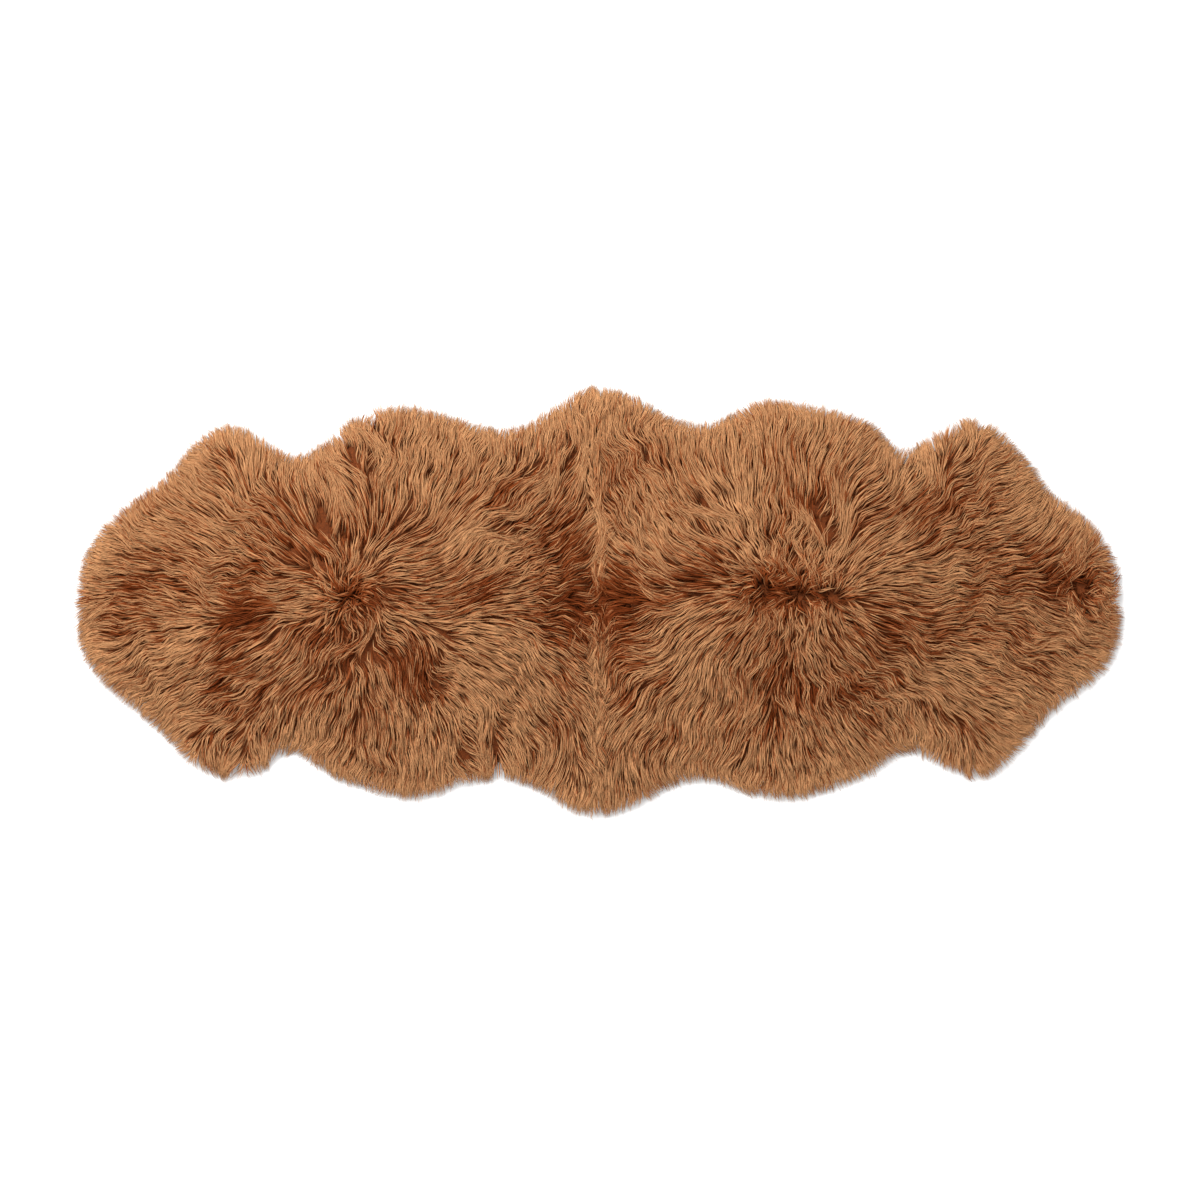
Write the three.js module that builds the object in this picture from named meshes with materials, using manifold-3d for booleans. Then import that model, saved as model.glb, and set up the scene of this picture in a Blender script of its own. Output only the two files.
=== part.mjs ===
// A double sheepskin rug: two long-wool pelts sewn together end to end, lying flat with the wool up.
// Millimetres, +Z up. The floor is z = 0, and the origin is on it under the middle of the seam.
// +X runs along the rug to the head end of the right pelt, and +Y is across it.
import * as THREE from 'three';
import { mergeVertices } from 'three/addons/utils/BufferGeometryUtils.js';
import Module from 'manifold-3d';

// The tanned skins, and the narrow gap that parts every two pieces.
const HIDE_THICK = 2.5;
const GAP = 0.3;

// The wool: its height over the floor, how far it spreads past the skin, and how its edge rounds off.
const PILE_HEIGHT = 44;
const WOOL_OVERHANG = 38;
const EDGE_HEIGHT = 13;
const EDGE_ROUNDING = 70;

// The valley over the seam, where the wool of the two pelts meets.
const SEAM_VALLEY_DEPTH = 12;
const SEAM_VALLEY_WIDTH = 26;

// Tufts that stand up from the pile, combed the way the wool lies.
const TUFTS_PER_PELT = 85;
const TUFT_LENGTH = 72;
const TUFT_WIDTH = 24;
const TUFT_RISE = 10;

// The pointed locks round the rim, which droop to the floor and lie level on it.
const LOCKS_PER_PELT = 136;
const LOCK_LENGTH = 48;
const LOCK_LENGTH_VARIES = 9;
const LOCK_OUT = 17;
const LOCK_WIDTH = 34;
const LOCK_THICK = 13;
const LOCK_SIDES = 3;
const LOCK_STEPS = 3;
const LOCK_ROOT_RISE = 4.5;
const LOCK_DROOP_STARTS = 0.24;
const LOCK_DROOP_ENDS = 0.72;
const LOCK_TURN = 0.42;

// The mesh of each pelt's wool, from seam to head end and from side to side, and the skin's outline.
const STEPS_ALONG = 54;
const STEPS_ACROSS = 34;
const OUTLINE_STEPS = 96;
// Edges shorter than this, which the joining of the locks leaves, are closed up.
const JOIN_TOLERANCE = 0.05;
// The rim's share, from the seam, that is a side of the pelt. The rest is its head end.
const SIDE_SHARE = 0.385;

// Steps of three even spreads of numbers that never fall into rows together.
const STEP_A = 0.7548776662;
const STEP_B = 0.569840291;
const STEP_C = 0.6180339887;

// The rim of the wool, by the pelt's own parts: out from the seam, and up across the rug.
const LEFT_RIM = [
  { at: 'seam', out: 0, up: 369 },
  { at: 'haunch', out: 40, up: 366 },
  { at: 'haunch slope', out: 84, up: 333 },
  { at: 'flank hollow', out: 178, up: 299 },
  { at: 'belly slope', out: 230, up: 314 },
  { at: 'belly crest', out: 333, up: 337 },
  { at: 'belly corner', out: 453, up: 301 },
  { at: 'leg hollow', out: 517, up: 255 },
  { at: 'leg slope', out: 565, up: 269 },
  { at: 'leg crest', out: 635, up: 304 },
  { at: 'leg corner', out: 700, up: 270 },
  { at: 'neck', out: 742, up: 221 },
  { at: 'cheek', out: 844, up: 142 },
  { at: 'head corner', out: 886, up: 76 },
  { at: 'head end', out: 900, up: 0 },
  { at: 'head corner', out: 886, up: -86 },
  { at: 'cheek', out: 848, up: -138 },
  { at: 'neck', out: 742, up: -223 },
  { at: 'leg corner', out: 703, up: -269 },
  { at: 'leg crest', out: 630, up: -305 },
  { at: 'leg slope', out: 566, up: -269 },
  { at: 'leg hollow', out: 525, up: -255 },
  { at: 'belly corner', out: 445, up: -305 },
  { at: 'belly crest', out: 330, up: -338 },
  { at: 'belly slope', out: 230, up: -317 },
  { at: 'flank hollow', out: 169, up: -305 },
  { at: 'haunch slope', out: 109, up: -322 },
  { at: 'haunch', out: 50, up: -357 },
  { at: 'seam', out: 0, up: -371 },
];
const RIGHT_RIM = [
  { at: 'seam', out: 0, up: 369 },
  { at: 'haunch', out: 50, up: 361 },
  { at: 'haunch slope', out: 114, up: 321 },
  { at: 'flank hollow', out: 175, up: 309 },
  { at: 'belly slope', out: 235, up: 322 },
  { at: 'belly crest', out: 300, up: 345 },
  { at: 'belly crest', out: 372, up: 340 },
  { at: 'belly corner', out: 450, up: 312 },
  { at: 'leg hollow', out: 525, up: 261 },
  { at: 'leg slope', out: 562, up: 274 },
  { at: 'leg crest', out: 640, up: 312 },
  { at: 'leg corner', out: 700, up: 286 },
  { at: 'neck', out: 777, up: 190 },
  { at: 'cheek', out: 837, up: 145 },
  { at: 'head corner', out: 886, up: 84 },
  { at: 'head end', out: 901, up: -10 },
  { at: 'head corner', out: 888, up: -84 },
  { at: 'cheek', out: 855, up: -133 },
  { at: 'neck', out: 777, up: -193 },
  { at: 'leg corner', out: 705, up: -274 },
  { at: 'leg crest', out: 640, up: -306 },
  { at: 'leg slope', out: 564, up: -270 },
  { at: 'leg hollow', out: 524, up: -259 },
  { at: 'belly corner', out: 450, up: -303 },
  { at: 'belly crest', out: 340, up: -338 },
  { at: 'belly slope', out: 252, up: -328 },
  { at: 'flank hollow', out: 183, up: -307 },
  { at: 'haunch slope', out: 123, up: -319 },
  { at: 'haunch', out: 63, up: -349 },
  { at: 'seam', out: 0, up: -371 },
];

// Where the wool parts and falls away on all sides. The whorl is the strongest in each pelt.
const LEFT_SPRINGS = [
  { at: 'whorl', out: 415, up: 8, strength: 1 },
  { at: 'neck', out: 650, up: 0, strength: 0.35 },
  { at: 'rump', out: 230, up: 24, strength: 0.25 },
];
const RIGHT_SPRINGS = [
  { at: 'whorl', out: 345, up: 22, strength: 1 },
  { at: 'neck', out: 640, up: 12, strength: 0.35 },
  { at: 'rump', out: 160, up: 30, strength: 0.2 },
];

// Hollows in the pile, where the wool is parted down to its roots.
const LEFT_HOLLOWS = [
  { at: 'whorl', out: 432, up: 4, radius: 30, depth: 13 },
  { at: 'parting', out: 302, up: -130, radius: 34, depth: 10 },
  { at: 'saddle', out: 200, up: 52, radius: 26, depth: 7 },
  { at: 'rump', out: 30, up: 6, radius: 34, depth: 9 },
];
const RIGHT_HOLLOWS = [
  { at: 'whorl', out: 300, up: 22, radius: 34, depth: 11 },
  { at: 'saddle', out: 350, up: 14, radius: 30, depth: 9 },
  { at: 'parting', out: 310, up: -190, radius: 30, depth: 8 },
  { at: 'head', out: 838, up: 10, radius: 26, depth: 8 },
  { at: 'rump', out: 178, up: 54, radius: 24, depth: 7 },
];

const WOOL_COLOUR = 0x95623f;
const HIDE_COLOUR = 0xc9a27c;

const PELTS = [
  { name: 'left', side: -1, rim: LEFT_RIM, springs: LEFT_SPRINGS, hollows: LEFT_HOLLOWS },
  { name: 'right', side: 1, rim: RIGHT_RIM, springs: RIGHT_SPRINGS, hollows: RIGHT_HOLLOWS },
];

const mix = THREE.MathUtils.lerp;
const smooth = THREE.MathUtils.smoothstep;

// A steady spread of numbers from 0 to 1, different for each count and step.
function scatter(count, step) {
  return (0.5 + count * step) % 1;
}

// The rim of one pelt as a curve in its own plane: x is out from the seam and y is up across the rug.
function rimOf(pelt) {
  return new THREE.SplineCurve(pelt.rim.map(({ out, up }) => new THREE.Vector2(out, up)));
}

// The direction straight out of the rim at a share of its length. The rim runs from the top of the seam.
function outwardAt(rim, share) {
  const along = rim.getTangentAt(share);
  return new THREE.Vector2(-along.y, along.x);
}

// A point of the rim moved inwards. Its two ends stay on the seam.
function insetAt(rim, share, inset) {
  const point = rim.getPointAt(share).addScaledVector(outwardAt(rim, share), -inset);
  const onSeam = share === 0 || share === 1;
  point.x = onSeam ? GAP / 2 : Math.max(point.x, GAP / 2);
  return point;
}

// The way the wool lies at a point: away from every spring of the pelt, and away from the springs'
// images across the seam, so that at the seam it runs along the seam.
function lieAt(pelt, point) {
  const lie = new THREE.Vector2();
  for (const { out, up, strength } of pelt.springs) {
    for (const image of [out, -out]) {
      const away = new THREE.Vector2(point.x - image, point.y - up);
      lie.addScaledVector(away, strength / Math.max(away.lengthSq(), 1));
    }
  }
  return lie.normalize();
}

// The patch that fills the rim: u runs from the seam to the head end, and v from the lower side to the
// upper one. It is the sum of the two ways of joining opposite edges, less the corners counted twice.
function patchOf(rim, inset) {
  const upper = (u) => insetAt(rim, SIDE_SHARE * u, inset);
  const lower = (u) => insetAt(rim, 1 - SIDE_SHARE * u, inset);
  const head = (v) => insetAt(rim, mix(1 - SIDE_SHARE, SIDE_SHARE, v), inset);
  const seam = (v) => new THREE.Vector2().lerpVectors(lower(0), upper(0), v);
  const corners = [lower(0), lower(1), upper(0), upper(1)];
  return (u, v) => {
    const point = new THREE.Vector2();
    point.addScaledVector(lower(u), 1 - v).addScaledVector(upper(u), v);
    point.addScaledVector(seam(v), 1 - u).addScaledVector(head(v), u);
    const shares = [(1 - u) * (1 - v), u * (1 - v), (1 - u) * v, u * v];
    shares.forEach((share, i) => point.addScaledVector(corners[i], -share));
    return point;
  };
}

// The tufts of one pelt, scattered evenly over its patch.
function tuftsOf(pelt, patch) {
  return Array.from({ length: TUFTS_PER_PELT }, (_, i) => {
    const centre = patch(scatter(i, STEP_A), mix(0.06, 0.94, scatter(i, STEP_B)));
    return { centre, lie: lieAt(pelt, centre), rise: TUFT_RISE * mix(0.5, 1, scatter(i, STEP_C)) };
  });
}

// How far the tufts lift the pile at a point: each is a long mound with a steep tip.
function tuftRise(tufts, point) {
  let rise = 0;
  for (const tuft of tufts) {
    const away = point.clone().sub(tuft.centre);
    const along = away.dot(tuft.lie);
    const beside = away.cross(tuft.lie);
    const reach = along > 0 ? TUFT_LENGTH / 2 : TUFT_LENGTH;
    rise = Math.max(rise, tuft.rise * Math.exp(-((along / reach) ** 2) - (beside / TUFT_WIDTH) ** 2));
  }
  return rise;
}

// The height of the pile at a point that is this far in from the wool's edge.
function pileHeight(pelt, tufts, point, fromEdge) {
  const rounding = 1 - (1 - Math.min(fromEdge / EDGE_ROUNDING, 1)) ** 2;
  const crown = Math.sqrt(rounding);
  let height = mix(EDGE_HEIGHT, PILE_HEIGHT, crown);
  for (const hollow of pelt.hollows) {
    const away = Math.hypot(point.x - hollow.out, point.y - hollow.up) / hollow.radius;
    height -= hollow.depth * Math.exp(-(away ** 2));
  }
  height -= SEAM_VALLEY_DEPTH * crown * Math.exp(-((point.x / SEAM_VALLEY_WIDTH) ** 2));
  return height + tuftRise(tufts, point) * smooth(fromEdge, 0, EDGE_ROUNDING / 2);
}

// A closed three.js geometry as a solid for joining.
function solidOf(wasm, geometry) {
  const bare = geometry.clone();
  bare.deleteAttribute('normal');
  bare.deleteAttribute('uv');
  const merged = mergeVertices(bare, 1e-3);
  return new wasm.Manifold(new wasm.Mesh({
    numProp: 3,
    vertProperties: new Float32Array(merged.attributes.position.array),
    triVerts: new Uint32Array(merged.index.array),
  }));
}

// A joined solid as a three.js geometry again.
function geometryOf(solid) {
  const { vertProperties, triVerts } = solid.getMesh();
  const geometry = new THREE.BufferGeometry();
  geometry.setAttribute('position', new THREE.BufferAttribute(vertProperties, 3));
  geometry.setIndex(new THREE.BufferAttribute(triVerts, 1));
  geometry.computeVertexNormals();
  return geometry;
}

// Moves every point of a geometry by a function of its place.
function reshape(geometry, place) {
  const positions = geometry.attributes.position;
  const point = new THREE.Vector3();
  for (let i = 0; i < positions.count; i += 1) {
    point.fromBufferAttribute(positions, i);
    place(point);
    positions.setXYZ(i, point.x, point.y, point.z);
  }
  return geometry;
}

// The body of the wool: a box whose top is the lumpy pile and whose outline is the rim, drawn in by the
// length that the rim's locks stand out. It reaches down to the floor, and is cut level over the skin.
function woolBody(wasm, pelt, rim) {
  const patch = patchOf(rim, LOCK_OUT);
  const tufts = tuftsOf(pelt, patch);
  const edge = Array.from({ length: 2 * OUTLINE_STEPS + 1 }, (_, i) => insetAt(rim, i / (2 * OUTLINE_STEPS), LOCK_OUT));
  const box = new THREE.BoxGeometry(1, 1, 1, STEPS_ALONG, STEPS_ACROSS, 1);
  reshape(box, (point) => {
    const plan = patch(point.x + 0.5, point.y + 0.5);
    const fromEdge = Math.min(...edge.map((other) => other.distanceTo(plan)));
    point.set(plan.x, plan.y, point.z > 0 ? pileHeight(pelt, tufts, plan, fromEdge) : 0);
  });
  return solidOf(wasm, box).trimByPlane([0, 0, 1], HIDE_THICK + GAP);
}

// One lock of the rim: a cone bent down to the floor, flat underneath, that narrows to its tip.
function rimLock(pelt, rim, index) {
  const share = (index + 0.5 + 0.5 * (scatter(index, STEP_C) - 0.5)) / LOCKS_PER_PELT;
  const outward = outwardAt(rim, share);
  const length = LOCK_LENGTH + LOCK_LENGTH_VARIES * (2 * scatter(index, STEP_A) - 1);
  const root = rim.getPointAt(share).addScaledVector(outward, LOCK_LENGTH_VARIES / 3 - LOCK_LENGTH);
  const turn = LOCK_TURN * (2 * scatter(index, STEP_B) - 1);
  const lie = lieAt(pelt, root);
  const heading = outward.clone().multiplyScalar(1.6).add(lie).normalize().rotateAround(new THREE.Vector2(), turn / 2);
  const beside = new THREE.Vector2(-heading.y, heading.x);
  const cone = new THREE.ConeGeometry(1, 1, LOCK_SIDES, LOCK_STEPS, false, Math.PI / LOCK_SIDES);
  return reshape(cone, (point) => {
    const share = point.y + 0.5;
    const narrowing = share < 1 ? (1 - share ** 2) / (1 - share) : 0;
    const across = point.x * narrowing * LOCK_WIDTH / 2;
    const sway = turn * length * share ** 2 / 3;
    const droop = smooth(share, LOCK_DROOP_STARTS, LOCK_DROOP_ENDS);
    const lowest = mix(LOCK_ROOT_RISE, 0, droop);
    const thick = LOCK_THICK * (1 - share ** 2);
    const lift = share < 1 ? (0.5 - point.z / (1 - share)) / 1.5 : 0;
    const plan = root.clone().addScaledVector(heading, length * share).addScaledVector(beside, across + sway);
    point.set(Math.max(plan.x, GAP / 2), plan.y, lowest + thick * lift);
  });
}

// Mirrors a solid to the pelt's own side of the seam.
function onItsSide(pelt, solid) {
  return pelt.side > 0 ? solid : solid.mirror([1, 0, 0]);
}

// The wool of one pelt: its body with the locks fused to it by their roots.
function wool(wasm, pelt) {
  const rim = rimOf(pelt);
  const locks = Array.from({ length: LOCKS_PER_PELT }, (_, i) => solidOf(wasm, rimLock(pelt, rim, i)));
  const solid = wasm.Manifold.union([woolBody(wasm, pelt, rim), ...locks]).simplify(JOIN_TOLERANCE);
  const material = new THREE.MeshStandardMaterial({ color: WOOL_COLOUR, roughness: 0.9, metalness: 0 });
  const mesh = new THREE.Mesh(geometryOf(onItsSide(pelt, solid)), material);
  mesh.name = `wool_${pelt.name}`;
  return mesh;
}

// The tanned skin of one pelt: a flat sheet cut to the pelt's outline, straight along the seam.
function hide(pelt) {
  const rim = rimOf(pelt);
  const outline = Array.from({ length: OUTLINE_STEPS + 1 }, (_, i) => {
    const point = insetAt(rim, i / OUTLINE_STEPS, WOOL_OVERHANG);
    return new THREE.Vector2(pelt.side * point.x, point.y);
  });
  const sheet = new THREE.ExtrudeGeometry(new THREE.Shape(outline), { depth: HIDE_THICK, bevelEnabled: false });
  const material = new THREE.MeshStandardMaterial({ color: HIDE_COLOUR, roughness: 0.85, metalness: 0 });
  const mesh = new THREE.Mesh(sheet, material);
  mesh.name = `hide_${pelt.name}`;
  return mesh;
}

const wasm = await Module();
wasm.setup();

const sheepskin = new THREE.Group();
for (const pelt of PELTS) {
  sheepskin.add(hide(pelt), wool(wasm, pelt));
}

export default sheepskin;
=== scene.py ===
"""A double sheepskin rug in Blender: two long-wool pelts sewn end to end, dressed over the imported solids.

The skins are flat suede sheets. The wool is a low bed of underwool with thousands of pointed locks on it,
each a bundle of closed tapering strands that follow the way the wool lies.

The tables and the shape functions are in millimetres, and both pelts are worked out on the same side of the
seam: out runs from the seam to the pelt's own end, and up across the rug. A finished mesh is in metres.
"""

import math
from collections import namedtuple

import bpy
import numpy as np
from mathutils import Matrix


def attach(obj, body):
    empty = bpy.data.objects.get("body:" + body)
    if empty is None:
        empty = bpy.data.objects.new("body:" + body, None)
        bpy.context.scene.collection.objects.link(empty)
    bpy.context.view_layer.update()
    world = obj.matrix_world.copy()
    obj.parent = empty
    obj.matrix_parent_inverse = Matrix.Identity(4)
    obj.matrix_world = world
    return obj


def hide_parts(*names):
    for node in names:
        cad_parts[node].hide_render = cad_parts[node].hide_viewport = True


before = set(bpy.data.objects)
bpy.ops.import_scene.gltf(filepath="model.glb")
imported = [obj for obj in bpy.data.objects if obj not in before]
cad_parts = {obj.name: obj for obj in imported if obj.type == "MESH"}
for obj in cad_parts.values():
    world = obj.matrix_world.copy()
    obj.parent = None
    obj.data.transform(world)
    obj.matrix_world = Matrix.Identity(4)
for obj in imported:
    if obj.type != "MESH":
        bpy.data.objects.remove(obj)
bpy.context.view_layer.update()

bl_info = {
    "name": "Sheepskin Rug",
    "version": (1, 0, 0),
    "blender": (4, 5, 0),
    "location": "3D View > Sidebar > Sheepskin",
    "description": "Makes a double long-wool sheepskin rug and the stage it lies on",
    "category": "Add Mesh",
}

MM = 0.001
BAKE_MAP = "OFBake"
SIDES = {"left": -1, "right": 1}

# The rim of each pelt's wool, from the top of the seam round to its foot.
RIMS = {
    "left": {
        "out": [0, 44, 84, 135, 185, 240, 333, 393, 430, 464, 500, 530, 565, 599, 636, 668, 702, 742, 844]
        + [886, 900, 888, 854, 750, 714, 684, 648, 608, 579, 555, 525, 445, 330, 230, 169, 109, 50, 0],
        "up": [373, 363, 332, 306, 300, 319, 338, 328, 312, 280, 256, 257, 277, 297, 307, 294, 270, 221]
        + [142, 76, 0, -86, -139, -228, -270, -290, -301, -305, -292, -272, -257, -307, -338, -317, -305]
        + [-322, -357, -372],
    },
    "right": {
        "out": [0, 50, 89, 123, 175, 228, 261, 300, 372, 433, 470, 503, 536, 570, 605, 640, 675, 708, 742]
        + [777, 837, 886, 901, 888, 855, 777, 705, 640, 564, 524, 450, 340, 252, 183, 123, 63, 0],
        "up": [371, 362, 343, 322, 309, 322, 342, 349, 341, 324, 309, 276, 267, 288, 309, 316, 308, 280]
        + [242, 191, 145, 84, -10, -84, -133, -193, -274, -306, -270, -259, -303, -338, -328, -307, -319]
        + [-351, -372],
    },
}

# The lines where the wool parts: the whorl first, which is three lines on the right pelt, then small
# partings, and last the middle of the seam and the whole seam, where the wool of the two pelts meets.
# strength is how much of the wool's flow comes from the line, and openness how short and crowded its locks
# are.
PARTINGS = {
    "left": {
        "out": [424, 640, 295, -20, -5],
        "up": [12, 0, -130, -14, 370],
        "to_out": [438, 656, 285, 24, -6],
        "to_up": [4, -50, -156, -18, -370],
        "strength": [1, 0.05, 0.03, 0, 0],
        "openness": [0.9, 0.3, 0.3, 0.8, 0.35],
    },
    "right": {
        "out": [278, 338, 398, 816, 290, -20, -5],
        "up": [26, 12, 10, 46, -170, -14, 370],
        "to_out": [290, 346, 407, 838, 330, 24, -6],
        "to_up": [22, 12, 4, 8, -180, -18, -370],
        "strength": [0.35, 0.3, 0.3, 0.07, 0.05, 0, 0],
        "openness": [0.9, 0.8, 0.8, 0.7, 0.3, 0.8, 0.35],
    },
}

# Hollows where the wool shows its rust-brown roots, darkened partly as painted shade, and, with a depth below
# 0, crests made paler as a painted highlight.
HOLLOWS = {
    "left": {
        "out": [0, 169, 378, 415, 473, 308, 262, 630, 652, 840, 634, 680, 543, 273, 381, 27, 10, 16, 14]
        + [140, 233, 302, 209, 640, 760, 341, 275],
        "up": [-14, 32, 2, 10, -105, -114, -168, -5, -48, 9, -208, -129, 136, 136, -243, 170, 90, -90, -150]
        + [-105, -198, 227, 112, 250, -110, -62, -76],
        "radius": [54, 36, 42, 40, 38, 44, 36, 36, 36, 44, 40, 34, 60, 26, 34, 42, 40, 22, 20]
        + [80, 60, 50, 40, 40, 50, 26, 28],
        "depth": [19, 12, 7, 5, 9, 11, 10, 9, 9, 7, 7, 5, 5, 6, 5, 6, 7, 8, 8]
        + [-8, -7, -7, -7, -6, -6, -7, -7],
    },
    "right": {
        "out": [0, 129, 270, 335, 306, 444, 806, 832, 639, 547, 32, 24, 22, 24, 20]
        + [88, 238, 661, 500, 90],
        "up": [-14, 32, 26, 18, -174, -174, 50, 20, 204, -60, 239, -80, -130, -175, 90]
        + [-105, 180, -151, 80, 130],
        "radius": [54, 38, 44, 44, 38, 32, 40, 46, 60, 66, 34, 24, 20, 20, 30]
        + [80, 70, 60, 60, 50],
        "depth": [19, 12, 11, 12, 11, 7, 8, 11, 5, 5, 6, 10, 11, 9, 6]
        + [-8, -8, -7, -6, -6],
    },
}

# The slow waves that vary the wool: a number that keeps each kind apart, and its shortest and longest wave.
WAVES = {
    "swirl": (3, 90, 260),
    "sweep": (5, 60, 170),
    "seam": (5, 90, 220),
    "pile": (7, 60, 140),
    "curl": (9, 50, 150),
    "tone": (11, 60, 200),
    "crimp phase": (13, 140, 380),
    "crimp strength": (14, 120, 300),
    "drift out": (20, 110, 320),
    "drift up": (21, 110, 320),
}
WAVE_COUNT = 18

# The plan of a pelt.
RIM_POINTS = 801
RIM_SHARE = 0.44  # of the rim's length, from each end of the seam, is one long side of the pelt's patch
SEAM_GAP = 0.15  # from the seam's middle to the skin
SEAM_MIDDLE = (0, -14)  # where the wool of both whorls meets
GRID_LOW, GRID_HIGH, GRID_STEP = (-60.0, -460.0), (981, 461), 4.0  # of the distances to the rim
ROOTS_LOW, ROOTS_HIGH = (0, -400), (920, 400)  # the corners of the area in which roots are sought

# The lie of the wool.
LIE_DRIFT, STILL_RADIUS = 12, 80  # how far the place is moved at which the flow is read, away from partings
ECHO, ECHO_RADIUS = 0.6, 80  # the share of the other pelt's flow that is felt, away from the seam's middle
WHORL_TWIST, WHORL_RADIUS = 0.4, 40
RIM_PULL, RIM_BAND = 1.7, 100  # how strongly, and from how far in, the wool turns out to the rim
CRIMP_LENGTH, CRIMP_STRENGTH, CRIMP_VARIES, CRIMP_LEAST = 66, 0.34, 0.28, 0.08
CRIMP_DELAY = 3.4  # by how much of a wave, in radians, slow waves delay the crimp

# The pile.
PILE_BAND, PILE_AT_RIM, PILE_VARIES = 84, 3.5, 3.2  # it rises to its full height over the band at the rim
HOLLOW_SHARE = 0.7  # of a hollow's depth is taken from the pile
VALLEY_RADIUS, VALLEY_DEPTHS = 20, {"left": 5, "right": 9}  # over the seam
OVER_SKIN = 0.4  # the height of the underwool's lower side over the skin
UNDERWOOL_REACH = 8  # how far the underwool stands out past the skin
UNDERWOOL, UNDERWOOL_AT_PARTING = 0.46, 0.22  # its height as a share of the pile

# Locks.
PATH_STEPS = 10
SWIRL = 0.18  # the angle by which slow waves turn a lock
TURN_AT_PARTING, LEAN_AT_PARTING = 1.3, 0.45  # the chance turn there, and the share of the length
BEND_SWEEP, BEND_CHANCE, BEND_START = 0.8, 0.25, 0.35  # a lock's bend changes sides after this share of it
STOP_VARIES = (-6, 5)  # how far from its coat's stop a lock ends
SHORTEST_LOCK = 0.25  # the least share of its way to which the rim shortens a lock
ROOT_SHIFT = 0.42  # how far a root is moved off the even grid, as a share of its step
CROWD, CROWD_ODDS = 18, (0.15, 3.4)  # extra spots tried for each lock of the grid, and kept near partings
RIM_DEPTH = 25  # how far in from the skin's edge the rim's own locks stand

# The seam: how far its line wanders, how far past it the locks of each pelt may reach, and how far from that
# limit strands begin to close up, at their roots and at their tips.
SEAM_WANDER, SEAM_CROSSINGS, SEAM_BANK = 17, {"left": 26, "right": 10}, (3, 13)

# Strands.
STRAND_SIDES, STRAND_FLATNESS, STRAND_CLEARANCE = 3, 0.75, 0.1
STRAND_REACH = (0.74, 1.0)  # the shares of its lock's way that a strand covers
ROOT_HEIGHT, TIP_HEIGHT = 3.0, 0.5  # the first height, and the least one
CREST = 1.8  # how much higher than its sides the middle of a lock is
WAVER, STRAYS, STRAY_WAVER = 0.35, 0.06, 3.0  # of all strands, the share that strays, and how many times more
CURL_TURNS = 1.4
# Tone added near the rim is painted backlight from the pale floor, and tone on the ridge over the seam is a
# painted highlight.
TONE_VARIES, TONE_WAVES, RIM_BACKLIGHT_TONE, RIDGE_HIGHLIGHT_TONE = 0.24, 0.12, 0.22, 0.24
RIM_BACKLIGHT_WIDTH, RIDGE_WIDTH, RIDGE_GAP = 50, 10, 70  # how wide the painted backlight at the rim, the painted highlight on the ridge and the gap in it are
MOST_FACES = 190000  # triangles in a piece of strands
TONES = 48  # strand colours, a column each in the wool's own map

# The coats of strands. rings are the places of a strand's rings on its way and girth is its width there, as
# shares of the way and of its width. strands is the number in a lock, spacing the distance between locks on
# the skin and rim_spacing the distance between the extra ones at its edge, and spread a lock's width. length
# and sway are shares of the lock length and curl, closing is how far a lock's strands draw together at its
# tip, low and high are the heights of its locks as shares of the pile, pale is added to its tone, and stop
# is how far inside the rim its tips end, or past it where it is below 0.
Coat = namedtuple(
    "Coat",
    "name rings girth width strands spacing rim_spacing spread length closing sway low high pale stop",
)
COATS = (
    Coat(
        "coat", rings=(0, 0.5), girth=(0.9, 1.0), width=2.9, strands=3, spacing=10.6, rim_spacing=9.0,
        spread=14.0, length=1.0, closing=0.1, sway=0.6, low=0.82, high=1.0, pale=-0.11, stop=-1,
    ),
    Coat(
        "locks", rings=(0, 0.34, 0.6, 0.82), girth=(0.7, 1.0, 0.9, 0.5), width=1.75, strands=4, spacing=14.2,
        rim_spacing=9.0, spread=14.0, length=1.0, closing=0.25, sway=1.0, low=0.92, high=1.06, pale=0.06,
        stop=-4,
    ),
    # The fringe's high pale tone is part of the painted backlight at the rim.
    Coat(
        "fringe", rings=(0, 0.5), girth=(1.0, 0.8), width=0.8, strands=4, spacing=None, rim_spacing=1.25,
        spread=10.0, length=0.7, closing=0.2, sway=0.8, low=0.4, high=1.04, pale=0.5, stop=-13,
    ),
)

Pelt = namedtuple("Pelt", "name side rim partings hollows edge seed")


def mix(low, high, share):
    """The value that lies this share of the way from low to high."""
    return low + (high - low) * share


def smooth(low, high, value):
    """0 below low, 1 above high, and an S-shaped rise between them."""
    share = np.clip((value - low) / (high - low), 0, 1)
    return share * share * (3 - 2 * share)


def unit(vectors):
    """The vectors at length 1."""
    return vectors / np.maximum(np.linalg.norm(vectors, axis=-1, keepdims=True), 1e-9)


def bell(away, radius):
    """A bell curve: 1 at 0, and 1/e at the radius."""
    return np.exp(-((away / radius) ** 2))


def turned(vectors, angle):
    """Plane vectors turned left by an angle in radians."""
    x, y = vectors[..., 0], vectors[..., 1]
    cos, sin = np.cos(angle), np.sin(angle)
    return np.stack([x * cos - y * sin, x * sin + y * cos], -1)


def from_spot(points, out, up):
    """The distance from each point to one spot."""
    return np.hypot(points[..., 0] - out, points[..., 1] - up)


def from_line(points, start, end):
    """The distance from each point to the nearest point of a straight line between two points."""
    edge = end - start
    share = np.clip((points - start) @ edge / (edge @ edge), 0, 1)
    away = points - start - share[..., None] * edge
    return np.hypot(away[..., 0], away[..., 1])


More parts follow.
